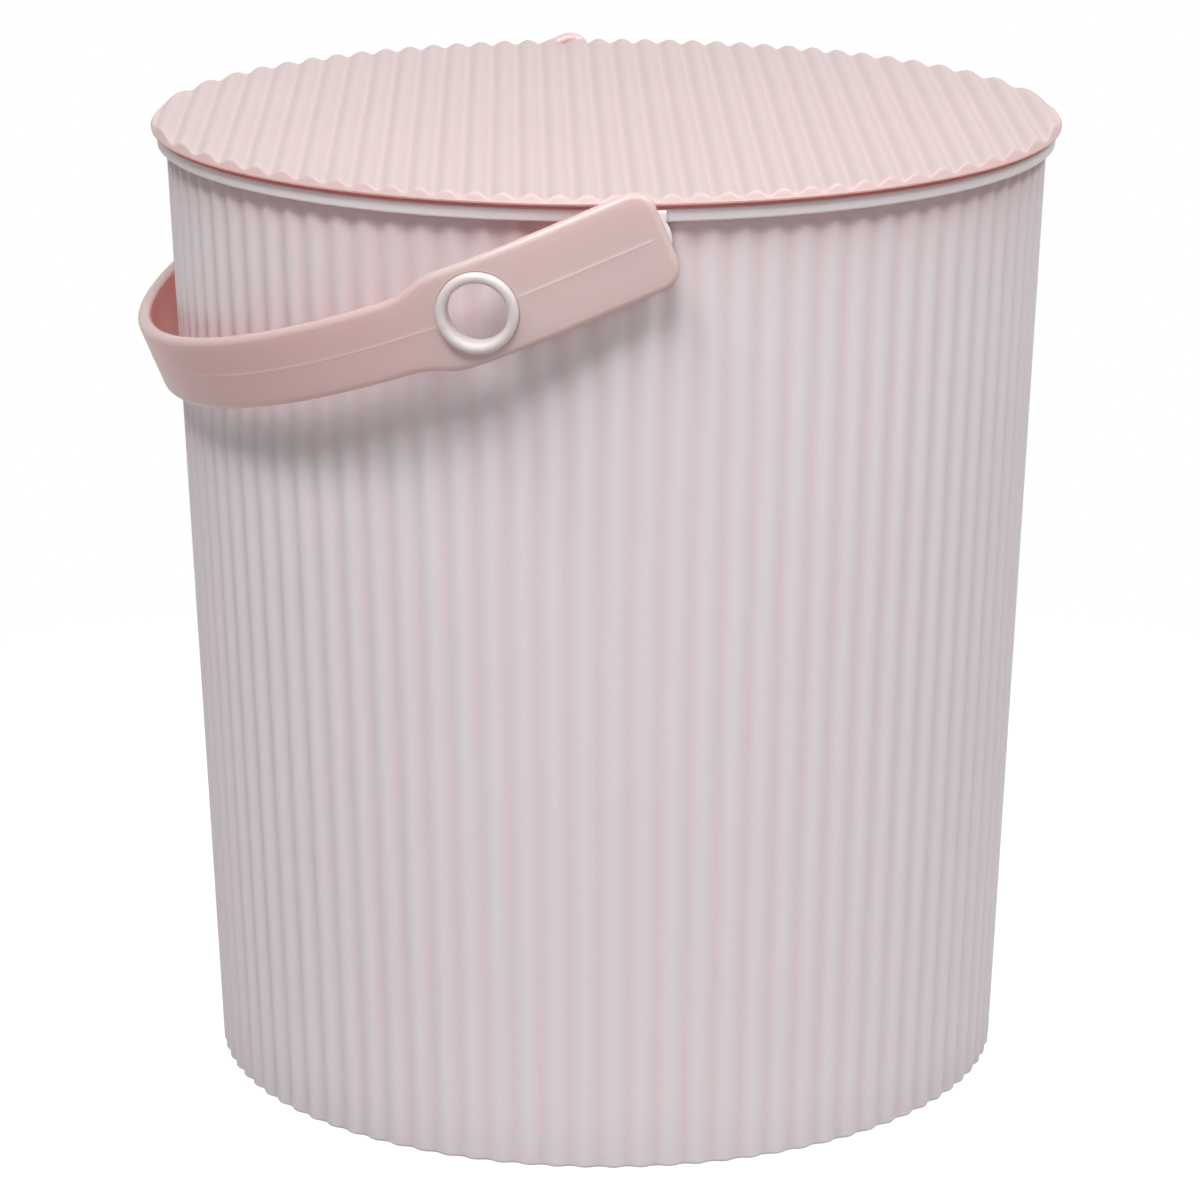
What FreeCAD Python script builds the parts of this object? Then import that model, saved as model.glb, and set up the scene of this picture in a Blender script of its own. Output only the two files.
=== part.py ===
"""Lidded plastic bucket with a drop handle.

Millimetres, +Z up. The origin is the centre of the foot, on the surface that the bucket stands on.
The handle's pivot axis runs along Y, and at rest the handle hangs down on the -X side.
"""
import FreeCAD, Part
import math
import os

from FreeCAD import Vector

# Bucket: a tapered round wall with upright ribs on the outside
BUCKET_HEIGHT = 332.2
CREST_RADIUS_FOOT = 139.3
CREST_RADIUS_TOP = 152.4
RIB_COUNT = 90
RIB_DEPTH = 1.2
RIB_TURN = -1.0
WALL = 3.0
FLOOR = 2.8
FOOT_DEPTH = 3.2
FOOT_WIDTH = 6.0
FOOT_ROUND = 1.2
FOOT_ROUND_PROUD = 0.3
INSIDE_ROUND = 7.0

# Rim flange round the mouth
RIM_REACH = 3.0
RIM_HEIGHT = 4.2
RIM_ROUND = 1.0

# Ears on the rim, one at the front and one at the rear, that carry the handle
PIVOT_DROP = 9.8
EAR_WIDTH = 16.4
EAR_BOSS_RADIUS = 10.0
EAR_ROUND = 0.9
EAR_ARM_GAP = 0.6

# Lid: a waved disc with a rounded edge and a locating skirt
LID_OVERHANG = 2.1
LID_PLATE = 3.3
LID_LIP_GAP = 1.7
LID_LIP_REACH = 5.0
LID_EDGE_MARGIN = 1.6
WAVE_PITCH = 8.9
WAVE_HEIGHT = 1.8
LID_TURN = 2.9
SKIRT_DEPTH = 10.0
SKIRT_WALL = 2.4
SKIRT_CLEARANCE = 0.4
SKIRT_LEAD = 1.0

# Handle: one flat strap bent into a bail, with wide arms and a narrower grip
HANDLE_DROP = 22.5
STRAP = 5.0
ARM_WIDTH = 33.6
ARM_TAIL = 8.6
ARM_CORNER = 7.5
ARM_STRAIGHT = 30.0
GRIP_WIDTH = 25.4
STEP_START = 64.0
STEP_LENGTH = 20.0
STRAP_ROUND = 2.0
ARM_LID_CLEARANCE = 0.7
REST_CLEARANCE = 0.8

# Pivot studs inside the arm ends
STUD_RADIUS = 4.5
STUD_LENGTH = 7.2
STUD_CLEARANCE = 0.05
STUD_END_CLEARANCE = 0.5
STUD_LEAD = 0.8

# Eyelets snapped into the arms
EYELET_PLACE = 56.5
EYELET_LIP_RADIUS = 13.4
EYELET_BORE_RADIUS = 10.0
EYELET_BARREL_WALL = 1.7
EYELET_PROUD = 2.2
EYELET_CROWN = 1.1
EYELET_SEAT = 1.1
EYELET_CLEARANCE = 0.05
BEAD_DEPTH = 1.2
BEAD_PROUD = 0.7
POCKET_CLEARANCE = 0.25

# Extra length that a cutting tool runs past the faces that it cuts
OVERCUT = 5.0

# Sizes that follow from the driving dimensions: the rim stands out from the ribs and the lid from the rim
RIM_RADIUS = CREST_RADIUS_TOP + RIM_REACH
LID_RADIUS = RIM_RADIUS + LID_OVERHANG
RIM_UNDERSIDE = BUCKET_HEIGHT - RIM_HEIGHT
RIB_TOP = RIM_UNDERSIDE + RIM_HEIGHT / 2
TAPER = (CREST_RADIUS_TOP - CREST_RADIUS_FOOT) / RIM_UNDERSIDE
FLOOR_TOP = FOOT_DEPTH + FLOOR
PIVOT_HEIGHT = BUCKET_HEIGHT - PIVOT_DROP
ARM_INSIDE = LID_RADIUS + ARM_LID_CLEARANCE
ARM_OUTSIDE = ARM_INSIDE + STRAP
EAR_FACE = ARM_INSIDE - EAR_ARM_GAP
STUD_TIP = ARM_INSIDE - STUD_LENGTH
LID_CREST = BUCKET_HEIGHT + LID_PLATE + WAVE_HEIGHT
LID_LIP = BUCKET_HEIGHT + LID_LIP_GAP
EYELET_BARREL_RADIUS = EYELET_BORE_RADIUS + EYELET_BARREL_WALL


def crest_radius(height):
    """Radius of the rib crests at a height on the wall."""
    return CREST_RADIUS_FOOT + TAPER * height


def inside_radius(height):
    """Radius of the smooth inside of the wall at a height."""
    return crest_radius(height) - RIB_DEPTH - WALL


def line(start, end):
    """Straight edge between two points."""
    return Part.LineSegment(start, end).toShape()


def arc(start, middle, end):
    """Circular edge through three points."""
    return Part.Arc(start, middle, end).toShape()


def round_corner(centre, radius, from_angle, to_angle, place):
    """Circular edge about a centre, with its two angles in degrees; place turns (u, v) into a point."""
    turns = [math.radians(angle) for angle in (from_angle, (from_angle + to_angle) / 2, to_angle)]
    points = [
        place(centre[0] + radius * math.cos(turn), centre[1] + radius * math.sin(turn))
        for turn in turns
    ]
    return arc(*points)


def upright(u, v):
    """Point in the XZ plane, for profiles that are turned about Z."""
    return Vector(u, 0, v)


def polygon_face(points):
    """Flat face inside a closed row of points."""
    return Part.Face(Part.makePolygon(list(points) + [points[0]]))


def turned(points):
    """Solid of revolution about Z of a profile given as (radius, height) points."""
    return polygon_face([upright(*point) for point in points]).revolve(Vector(0, 0, 0), Vector(0, 0, 1), 360)


def turned_wire(edges):
    """Solid of revolution about Z of a profile given as a closed row of edges."""
    return Part.Face(Part.Wire(edges)).revolve(Vector(0, 0, 0), Vector(0, 0, 1), 360)


def rib_wire(height):
    """Outline of the ribbed wall at a height: for each rib an outward arc and the valley's inward arc."""
    crest = crest_radius(height)
    valley = crest - RIB_DEPTH
    flank = (crest + valley) / 2
    quarter = 90.0 / RIB_COUNT

    def point(radius, angle):
        """Point of the outline at a radius and an angle."""
        turn = math.radians(angle)
        return Vector(radius * math.cos(turn), radius * math.sin(turn), height)

    edges = []
    for index in range(RIB_COUNT):
        middle = RIB_TURN + 4 * quarter * index
        start = point(flank, middle - quarter)
        turning = point(flank, middle + quarter)
        end = point(flank, middle + 3 * quarter)
        edges.append(arc(start, point(crest, middle), turning))
        edges.append(arc(turning, point(valley, middle + 2 * quarter), end))
    return Part.Wire(edges)


def foot_outside():
    """Radius where the flat foot ends and its rounded edge begins."""
    return crest_radius(0) + FOOT_ROUND_PROUD - FOOT_ROUND


def foot_edge():
    """Cutter for the foot's rounded edge; its circle stands a little outside the rib crests."""
    start = foot_outside()
    round_end = start + FOOT_ROUND
    outside = round_end + OVERCUT
    return turned_wire([
        line(upright(start, -OVERCUT), upright(start, 0)),
        round_corner((start, FOOT_ROUND), FOOT_ROUND, -90, 0, upright),
        line(upright(round_end, FOOT_ROUND), upright(outside, FOOT_ROUND)),
        line(upright(outside, FOOT_ROUND), upright(outside, -OVERCUT)),
        line(upright(outside, -OVERCUT), upright(start, -OVERCUT)),
    ])


def ribbed_wall():
    """Solid inside the ribs, with the foot's edge rounded; the ribs run up into the rim."""
    wall = Part.makeLoft([rib_wire(0), rib_wire(RIB_TOP)], True, True)
    return wall.cut(foot_edge())


def rim():
    """Rim flange round the mouth, solid to the axis."""
    low = RIM_UNDERSIDE
    top = BUCKET_HEIGHT
    edge = RIM_RADIUS - RIM_ROUND
    return turned_wire([
        line(upright(0, low), upright(edge, low)),
        round_corner((edge, low + RIM_ROUND), RIM_ROUND, -90, 0, upright),
        line(upright(RIM_RADIUS, low + RIM_ROUND), upright(RIM_RADIUS, top - RIM_ROUND)),
        round_corner((edge, top - RIM_ROUND), RIM_ROUND, 0, 90, upright),
        line(upright(edge, top), upright(0, top)),
        line(upright(0, top), upright(0, low)),
    ])


def ear():
    """Front ear: a block up to the rim's top on a round boss about the pivot."""
    root = inside_radius(PIVOT_HEIGHT - EAR_BOSS_RADIUS) - WALL
    depth = EAR_FACE - root
    block = Part.makeBox(EAR_WIDTH, depth, PIVOT_DROP, Vector(-EAR_WIDTH / 2, -EAR_FACE, PIVOT_HEIGHT))
    boss = Part.makeCylinder(EAR_BOSS_RADIUS, depth, Vector(0, -EAR_FACE, PIVOT_HEIGHT), Vector(0, 1, 0))
    above_rim = Part.makeBox(
        2 * EAR_BOSS_RADIUS, depth, EAR_BOSS_RADIUS, Vector(-EAR_BOSS_RADIUS, -EAR_FACE, BUCKET_HEIGHT),
    )
    joined = block.fuse(boss).cut(above_rim).removeSplitter()
    face_edges = [edge for edge in joined.Edges if abs(edge.BoundBox.YMax + EAR_FACE) < 1e-6]
    return joined.makeFillet(EAR_ROUND, face_edges)


def rear(shape):
    """Copy of a front piece, turned half round to the rear."""
    copy = shape.copy()
    copy.rotate(Vector(0, 0, 0), Vector(0, 0, 1), 180)
    return copy


def bucket_inside():
    """Hollow of the bucket, with a rounded corner round the floor."""
    top = BUCKET_HEIGHT + OVERCUT
    corner = inside_radius(FLOOR_TOP + INSIDE_ROUND)
    return turned_wire([
        line(upright(0, FLOOR_TOP), upright(corner - INSIDE_ROUND, FLOOR_TOP)),
        round_corner((corner - INSIDE_ROUND, FLOOR_TOP + INSIDE_ROUND), INSIDE_ROUND, -90, 0, upright),
        line(upright(corner, FLOOR_TOP + INSIDE_ROUND), upright(inside_radius(top), top)),
        line(upright(inside_radius(top), top), upright(0, top)),
        line(upright(0, top), upright(0, FLOOR_TOP)),
    ])


def bucket_body():
    """Bucket in one moulding: ribbed wall, floor on a foot ring, rim and two ears with blind pivot bores."""
    foot_inside = foot_outside() - FOOT_WIDTH
    recess = turned([(0, -OVERCUT), (foot_inside, -OVERCUT), (foot_inside, FOOT_DEPTH), (0, FOOT_DEPTH)])
    bore_end = STUD_TIP - STUD_END_CLEARANCE
    bore = Part.makeCylinder(
        STUD_RADIUS + STUD_CLEARANCE, EAR_FACE + OVERCUT - bore_end,
        Vector(0, -EAR_FACE - OVERCUT, PIVOT_HEIGHT), Vector(0, 1, 0),
    )
    solid = ribbed_wall().fuse([rim(), ear(), rear(ear())])
    return solid.cut([bucket_inside(), recess, bore, rear(bore)]).removeSplitter()


def wave_prism():
    """Prism whose top is the lid's row of straight waves, with a crest over the lid's centre."""
    half = LID_RADIUS + OVERCUT
    count = math.ceil(half / WAVE_PITCH)
    quarter = WAVE_PITCH / 4
    middle = LID_CREST - WAVE_HEIGHT / 2
    edges = []
    for index in range(-count, count + 1):
        centre = index * WAVE_PITCH
        rise = Vector(centre - quarter, -half, middle)
        fall = Vector(centre + quarter, -half, middle)
        valley = Vector(centre + 2 * quarter, -half, LID_CREST - WAVE_HEIGHT)
        following = Vector(centre + 3 * quarter, -half, middle)
        edges.append(arc(rise, Vector(centre, -half, LID_CREST), fall))
        edges.append(arc(fall, valley, following))
    first = edges[0].Vertexes[0].Point
    last = edges[-1].Vertexes[-1].Point
    bottom = BUCKET_HEIGHT - SKIRT_DEPTH - OVERCUT
    edges.append(line(last, Vector(last.x, -half, bottom)))
    edges.append(line(Vector(last.x, -half, bottom), Vector(first.x, -half, bottom)))
    edges.append(line(Vector(first.x, -half, bottom), first))
    prism = Part.Face(Part.Wire(edges)).extrude(Vector(0, 2 * half, 0))
    prism.rotate(Vector(0, 0, 0), Vector(0, 0, 1), -LID_TURN)
    return prism


def lid_blank():
    """Round lid blank: plate, rounded edge over a lip, seat on the rim, and locating skirt."""
    seat = BUCKET_HEIGHT
    skirt_end = seat - SKIRT_DEPTH
    skirt = inside_radius(skirt_end) - SKIRT_CLEARANCE
    lip = LID_RADIUS - LID_LIP_REACH
    edge_round = LID_CREST + LID_EDGE_MARGIN - LID_LIP
    crown = LID_RADIUS - edge_round
    skirt_inside = skirt - SKIRT_WALL
    rows = [
        (0, seat), (skirt_inside, seat), (skirt_inside, skirt_end), (skirt - SKIRT_LEAD, skirt_end),
        (skirt, skirt_end + SKIRT_LEAD), (skirt, seat), (lip, seat), (lip, LID_LIP), (LID_RADIUS, LID_LIP),
    ]
    edges = [line(upright(*start), upright(*end)) for start, end in zip(rows, rows[1:])]
    edges.append(round_corner((crown, LID_LIP), edge_round, 0, 90, upright))
    edges.append(line(upright(crown, LID_LIP + edge_round), upright(0, LID_LIP + edge_round)))
    edges.append(line(upright(0, LID_LIP + edge_round), upright(0, seat)))
    return turned_wire(edges)


def lid():
    """Waved lid that lifts off the rim."""
    return lid_blank().common(wave_prism()).removeSplitter()


def handle_reach():
    """Distance from the pivot axis to the outside of the grip.

    The grip's lower inside edge hangs REST_CLEARANCE away from the rib crests.
    """
    drop = math.radians(HANDLE_DROP)
    half = GRIP_WIDTH / 2
    wall = CREST_RADIUS_FOOT + TAPER * (PIVOT_HEIGHT - half * math.cos(drop))
    inside = (wall + half * math.sin(drop) + REST_CLEARANCE) / (math.cos(drop) + TAPER * math.sin(drop))
    return inside + STRAP


def half_ellipse(across, along):
    """Half ellipse about the end of the straight arms, from the rear arm round the grip to the front arm."""
    edge = arc(Vector(0, 1, 0), Vector(-1, 0, 0), Vector(0, -1, 0))
    stretch = FreeCAD.Matrix()
    stretch.scale(along, across, 1)
    bow = edge.transformGeometry(stretch)
    bow.translate(Vector(-ARM_STRAIGHT, 0, 0))
    return bow


def bail_plan():
    """Bail seen square to its plane: a strap of even thickness, level, about a pivot at the origin."""
    along = handle_reach() - ARM_STRAIGHT
    corner = -ARM_STRAIGHT
    edges = [
        line(Vector(ARM_TAIL, ARM_OUTSIDE, 0), Vector(corner, ARM_OUTSIDE, 0)),
        half_ellipse(ARM_OUTSIDE, along),
        line(Vector(corner, -ARM_OUTSIDE, 0), Vector(ARM_TAIL, -ARM_OUTSIDE, 0)),
        line(Vector(ARM_TAIL, -ARM_OUTSIDE, 0), Vector(ARM_TAIL, -ARM_INSIDE, 0)),
        line(Vector(ARM_TAIL, -ARM_INSIDE, 0), Vector(corner, -ARM_INSIDE, 0)),
        half_ellipse(ARM_INSIDE, along - STRAP),
        line(Vector(corner, ARM_INSIDE, 0), Vector(ARM_TAIL, ARM_INSIDE, 0)),
        line(Vector(ARM_TAIL, ARM_INSIDE, 0), Vector(ARM_TAIL, ARM_OUTSIDE, 0)),
    ]
    band = Part.Face(Part.Wire(Part.__sortEdges__(edges)))
    band.translate(Vector(0, 0, -ARM_WIDTH / 2))
    return band.extrude(Vector(0, 0, ARM_WIDTH))


def step_edges(side):
    """Two arcs that narrow the arm to the grip on one side, +1 for the top and -1 for the underside."""
    wide = ARM_WIDTH / 2
    narrow = GRIP_WIDTH / 2
    fall = wide - narrow
    radius = (STEP_LENGTH ** 2 + fall ** 2) / (4 * fall)
    turn = math.asin(STEP_LENGTH / 2 / radius)
    along = radius * math.sin(turn / 2)
    down = radius * (1 - math.cos(turn / 2))
    start = Vector(-STEP_START, 0, side * wide)
    middle = Vector(-STEP_START - STEP_LENGTH / 2, 0, side * (wide + narrow) / 2)
    end = Vector(-STEP_START - STEP_LENGTH, 0, side * narrow)
    first = arc(start, start + Vector(-along, 0, -side * down), middle)
    second = arc(middle, end + Vector(along, 0, side * down), end)
    return [first, second]


def bail_side():
    """Bail seen along the pivot axis: wide arms with rounded ends, then the narrower grip."""
    wide = ARM_WIDTH / 2
    narrow = GRIP_WIDTH / 2
    tail = ARM_TAIL - ARM_CORNER
    step_end = STEP_START + STEP_LENGTH
    far = handle_reach() + OVERCUT
    corner = wide - ARM_CORNER
    edges = [
        line(upright(tail, wide), upright(-STEP_START, wide)),
        line(upright(-step_end, narrow), upright(-far, narrow)),
        line(upright(-far, narrow), upright(-far, -narrow)),
        line(upright(-far, -narrow), upright(-step_end, -narrow)),
        line(upright(-STEP_START, -wide), upright(tail, -wide)),
        round_corner((tail, -corner), ARM_CORNER, -90, 0, upright),
        line(upright(ARM_TAIL, -corner), upright(ARM_TAIL, corner)),
        round_corner((tail, corner), ARM_CORNER, 0, 90, upright),
    ]
    edges += step_edges(1) + step_edges(-1)
    outline = Part.Face(Part.Wire(Part.__sortEdges__(edges)))
    outline.translate(Vector(0, -ARM_OUTSIDE - OVERCUT, 0))
    return outline.extrude(Vector(0, 2 * (ARM_OUTSIDE + OVERCUT), 0))


def bail_place(shape):
    """Handle piece moved from level about the origin to its place on the bucket, hanging at rest."""
    shape.rotate(Vector(0, 0, 0), Vector(0, 1, 0), -HANDLE_DROP)
    shape.translate(Vector(0, 0, PIVOT_HEIGHT))
    return shape


def eyelet_frame():
    """Centre of the front eyelet on the arm's outside, level, and the outward normal there."""
    along = handle_reach() - ARM_STRAIGHT
    share = (EYELET_PLACE - ARM_STRAIGHT) / along
    across = ARM_OUTSIDE * math.sqrt(1 - share ** 2)
    normal = Vector(-share / along, -across / ARM_OUTSIDE ** 2, 0)
    return Vector(-EYELET_PLACE, -across, 0), normal.normalize()


def eyelet_place(solid):
    """Solid turned about Z, moved so that its axis is the front eyelet's, from the arm's outside."""
    centre, normal = eyelet_frame()
    solid.Placement = FreeCAD.Placement(centre, FreeCAD.Rotation(Vector(0, 0, 1), normal))
    return solid


def eyelet_hole():
    """Stepped hole in the front arm: seat for the lip, land for the barrel, and pocket for the bead."""
    barrel = EYELET_BARREL_RADIUS + EYELET_CLEARANCE
    seat = EYELET_LIP_RADIUS + POCKET_CLEARANCE
    pocket = EYELET_BARREL_RADIUS + BEAD_PROUD + POCKET_CLEARANCE
    land = BEAD_DEPTH - STRAP
    return eyelet_place(turned([
        (0, OVERCUT), (seat, OVERCUT), (seat, -EYELET_SEAT), (barrel, -EYELET_SEAT), (barrel, land),
        (pocket, land), (pocket, -STRAP - OVERCUT), (0, -STRAP - OVERCUT),
    ]))


def eyelet():
    """Front eyelet: a rounded lip outside, a barrel through the arm, and a snap bead inside."""
    bore = EYELET_BORE_RADIUS
    barrel = EYELET_BARREL_RADIUS
    lip = EYELET_LIP_RADIUS
    land = BEAD_DEPTH - STRAP - EYELET_CLEARANCE
    middle = (lip + bore) / 2
    shoulder = EYELET_PROUD - EYELET_CROWN
    edges = [
        line(upright(bore, -STRAP), upright(barrel, -STRAP)),
        line(upright(barrel, -STRAP), upright(barrel + BEAD_PROUD, land)),
        line(upright(barrel + BEAD_PROUD, land), upright(barrel, land)),
        line(upright(barrel, land), upright(barrel, -EYELET_SEAT)),
        line(upright(barrel, -EYELET_SEAT), upright(lip, -EYELET_SEAT)),
        line(upright(lip, -EYELET_SEAT), upright(lip, shoulder)),
        arc(upright(lip, shoulder), upright(middle, EYELET_PROUD), upright(bore, shoulder)),
        line(upright(bore, shoulder), upright(bore, -STRAP)),
    ]
    return eyelet_place(turned_wire(edges))


def mirrored(shape):
    """Mirror image of a front handle piece, on the rear arm."""
    return shape.mirror(Vector(0, 0, 0), Vector(0, 1, 0))


def stud():
    """Pivot stud on the inside of the front arm, with a lead at its tip."""
    root = Vector(0, -ARM_INSIDE - STRAP / 2, 0)
    pin = Part.makeCylinder(STUD_RADIUS, STUD_LENGTH + STRAP / 2, root, Vector(0, 1, 0))
    tip_edges = [edge for edge in pin.Edges if abs(edge.BoundBox.YMin + STUD_TIP) < 1e-6]
    return pin.makeChamfer(STUD_LEAD, tip_edges)


def on_outside(vertex):
    """Whether a corner of the level bail is on the strap's outside rather than on its inside."""
    bend = max(0, -vertex.X - ARM_STRAIGHT) / (handle_reach() - ARM_STRAIGHT)
    half_strap = STRAP / 2 / ARM_OUTSIDE
    return math.hypot(bend, vertex.Y / ARM_OUTSIDE) > 1 - half_strap


def long_edges(strap):
    """Edges round the strap's two broad faces, without the short ones that cross its thickness."""
    return [edge for edge in strap.Edges if on_outside(edge.Vertexes[0]) == on_outside(edge.Vertexes[-1])]


def handle():
    """Drop handle in one moulding: bail with wide arms, pivot studs, and holes for the eyelets."""
    strap = bail_plan().common(bail_side()).removeSplitter()
    strap = strap.makeFillet(STRAP_ROUND, long_edges(strap))
    front_stud = stud()
    front_hole = eyelet_hole()
    solid = strap.fuse([front_stud, mirrored(front_stud)]).cut([front_hole, mirrored(front_hole)])
    return bail_place(solid.removeSplitter())


def main():
    """Build every piece and write one STEP file for each."""
    pieces = {
        "bucket_body": bucket_body(),
        "lid": lid(),
        "handle": handle(),
        "handle_eyelet_front": bail_place(eyelet()),
        "handle_eyelet_rear": bail_place(mirrored(eyelet())),
    }
    os.makedirs("parts", exist_ok=True)
    for name, shape in pieces.items():
        solid = shape.Solids[0] if len(shape.Solids) == 1 else shape
        solid.exportStep(f"parts/{name}.step")
        print(f"{name}: solids {len(shape.Solids)}, valid {solid.isValid()}, volume {solid.Volume:.0f} mm3")
    print(f"handle reach {handle_reach():.2f}, pivot height {PIVOT_HEIGHT:.1f}, lid crest {LID_CREST:.1f}")


main()
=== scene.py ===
"""Looks of a lidded plastic bucket with a drop handle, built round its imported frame.

The classes hold their sizes in millimetres, and the meshes are in metres. +Z is up and the origin is the
centre of the foot. The handle's pivot axis runs along Y, and at rest the handle hangs down on the -X side.
"""
import logging
import math
from dataclasses import dataclass, field
from enum import Enum
from typing import Any

import bmesh
import bpy
import numpy as np
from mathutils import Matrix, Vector


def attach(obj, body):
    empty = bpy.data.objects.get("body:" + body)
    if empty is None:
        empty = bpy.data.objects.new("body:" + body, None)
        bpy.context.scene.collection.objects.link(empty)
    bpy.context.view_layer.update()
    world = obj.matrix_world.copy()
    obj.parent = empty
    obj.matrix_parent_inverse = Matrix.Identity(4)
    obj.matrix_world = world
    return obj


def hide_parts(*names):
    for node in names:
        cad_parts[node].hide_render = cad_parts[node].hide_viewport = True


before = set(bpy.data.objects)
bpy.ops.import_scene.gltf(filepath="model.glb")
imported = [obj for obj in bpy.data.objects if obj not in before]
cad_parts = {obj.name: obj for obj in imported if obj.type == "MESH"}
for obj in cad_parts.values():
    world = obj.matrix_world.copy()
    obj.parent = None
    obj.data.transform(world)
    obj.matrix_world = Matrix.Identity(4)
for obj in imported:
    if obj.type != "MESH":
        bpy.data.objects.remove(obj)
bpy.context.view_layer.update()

Array = np.ndarray
LOG = logging.getLogger("bucket")
MM = 0.001
MERGE_DISTANCE = 1e-6
TINY = 1e-6
SHARP_ANGLE = math.radians(38.0)
# Name of the point attribute that holds painted shade, from 0 to 1: where a deeper colour is painted in for
# shade and for light come through the plastic.
PAINTED_SHADE_LAYER = "depth"


class Body(Enum):
    """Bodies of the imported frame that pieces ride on."""

    BUCKET = "bucket"
    LID = "lid"
    HANDLE = "handle"


class Side(Enum):
    """Front and rear of the bucket, as the sign of Y."""

    FRONT = -1
    REAR = 1


def linear_colour(code: str) -> tuple[float, float, float, float]:
    """Turn an sRGB hex value into linear RGBA.

    Args:
        code: six hex digits after a hash sign.

    Returns:
        Linear red, green, blue and an alpha of one.
    """
    parts = [int(code[place:place + 2], 16) / 255.0 for place in (1, 3, 5)]
    red, green, blue = [
        part / 12.92 if part <= 0.04045 else ((part + 0.055) / 1.055) ** 2.4 for part in parts
    ]
    return red, green, blue, 1.0


def add_node(tree: bpy.types.NodeTree, kind: str, settings: dict[str, Any], inputs: dict[Any, Any]) -> Any:
    """Add one node with its settings, input values and links.

    Args:
        tree: node tree that gets the node.
        kind: Blender's name for the type of node.
        settings: values of the node's own properties.
        inputs: for each socket, by name or number, a plain value or the output socket that feeds it.

    Returns:
        The new node.
    """
    node = tree.nodes.new(kind)
    for name, value in settings.items():
        setattr(node, name, value)
    for name, value in inputs.items():
        socket = node.inputs[name]
        if isinstance(value, bpy.types.NodeSocket):
            tree.links.new(value, socket)
        else:
            socket.default_value = value
    return node


def cleared_tree(data: Any) -> bpy.types.NodeTree:
    """Node tree of a new material or world, without nodes."""
    data.use_nodes = True
    data.node_tree.nodes.clear()
    return data.node_tree


def new_object(name: str, data: Any) -> bpy.types.Object:
    """New object of the scene, at the origin."""
    item = bpy.data.objects.new(name, data)
    bpy.context.scene.collection.objects.link(item)
    return item


def soft_min(first: Array, second: Array, width: Array | float) -> Array:
    """Lower of two arrays with a rounded crossing.

    Formula: b + (a - b) s - w s (1 - s), where s goes from 0 to 1 as b - a goes from -w to w.

    Args:
        first: values a.
        second: values b.
        width: difference w within which the two are blended.

    Returns:
        The blended lower values.
    """
    share = np.clip(0.5 + 0.5 * (second - first) / width, 0.0, 1.0)
    return second + (first - second) * share - width * share * (1.0 - share)


def round_rows(centre: tuple[float, float], radius: float, start: float, end: float, count: int) -> Array:
    """Points on a circular arc, for a rounded edge in a profile.

    Formula: centre plus radius times the cosine and sine of angles spaced evenly from start to end.

    Args:
        centre: centre of the arc.
        radius: radius of the arc.
        start: first angle in degrees.
        end: last angle in degrees.
        count: number of points.

    Returns:
        Array of count by 2.
    """
    turn = np.radians(np.linspace(start, end, count))
    return np.stack([centre[0] + radius * np.cos(turn), centre[1] + radius * np.sin(turn)], axis=-1)


def turned(profile: Array, angles: Array) -> Array:
    """Surface of revolution about Z: each (radius, height) row of a profile carried round the angles.

    Args:
        profile: array of rows by 2.
        angles: angles in radians.

    Returns:
        Array of rows by angles by 3.
    """
    radius = profile[:, :1]
    height = np.broadcast_to(profile[:, 1:], (len(profile), len(angles)))
    return np.stack([radius * np.cos(angles), radius * np.sin(angles), height], axis=-1)


def full_turn(count: int) -> Array:
    """Angles spaced evenly over a full turn, without the last one, in radians."""
    return np.arange(count) * (2.0 * math.pi / count)


class Shell:
    """Skin of one piece, gathered from grids of points in millimetres."""

    def __init__(self) -> None:
        """Start with no points."""
        self.points: list[Array] = []
        self.quads: list[Array] = []
        self.painted_shades: list[Array] = []
        self.count = 0

    def add(self, grid: Array, closed: bool = False, keep: Array | None = None,
            depth: Array | float = 0.0) -> "Shell":
        """Add a grid of points and the quads between its neighbours.

        Args:
            grid: array of rows by columns by 3.
            closed: whether the last column joins the first.
            keep: for each quad, rows less one by columns, whether it stays; all stay without it.
            depth: for each point, from 0 to 1, how much painted shade it gets: a deeper colour painted in
            for shade and for light come through the plastic.

        Returns:
            The skin itself.
        """
        rows, columns = grid.shape[:2]
        row = np.arange(rows - 1)[:, None]
        column = np.arange(columns if closed else columns - 1)[None, :]
        near = row * columns + column
        far = row * columns + (column + 1) % columns
        quads = np.stack([near, far, far + columns, near + columns], axis=-1)
        if keep is not None:
            quads = quads[keep]
        self.points.append(grid.reshape(-1, 3))
        self.quads.append(quads.reshape(-1, 4) + self.count)
        self.painted_shades.append(np.broadcast_to(depth, (rows, columns)).ravel())
        self.count += rows * columns
        return self

    def piece(self, name: str, material: bpy.types.Material) -> bpy.types.Object:
        """Make the mesh object: doubles merged, faces outwards, smooth except at sharp edges.

        Args:
            name: name of the object.
            material: its material.

        Returns:
            The new object, at the origin.
        """
        mesh = bpy.data.meshes.new(name)
        mesh.from_pydata((np.concatenate(self.points) * MM).tolist(), [], np.concatenate(self.quads).tolist())
        # The painted shade goes onto the points as an attribute that the material reads.
        layer = mesh.attributes.new(PAINTED_SHADE_LAYER, "FLOAT", "POINT")
        layer.data.foreach_set("value", np.concatenate(self.painted_shades).astype(np.float32))
        skin = bmesh.new()
        skin.from_mesh(mesh)
        bmesh.ops.remove_doubles(skin, verts=skin.verts, dist=MERGE_DISTANCE)
        bmesh.ops.recalc_face_normals(skin, faces=skin.faces)
        skin.to_mesh(mesh)
        skin.free()
        mesh.shade_smooth()
        mesh.set_sharp_from_angle(angle=SHARP_ANGLE)
        mesh.materials.append(material)
        return new_object(name, mesh)


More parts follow.
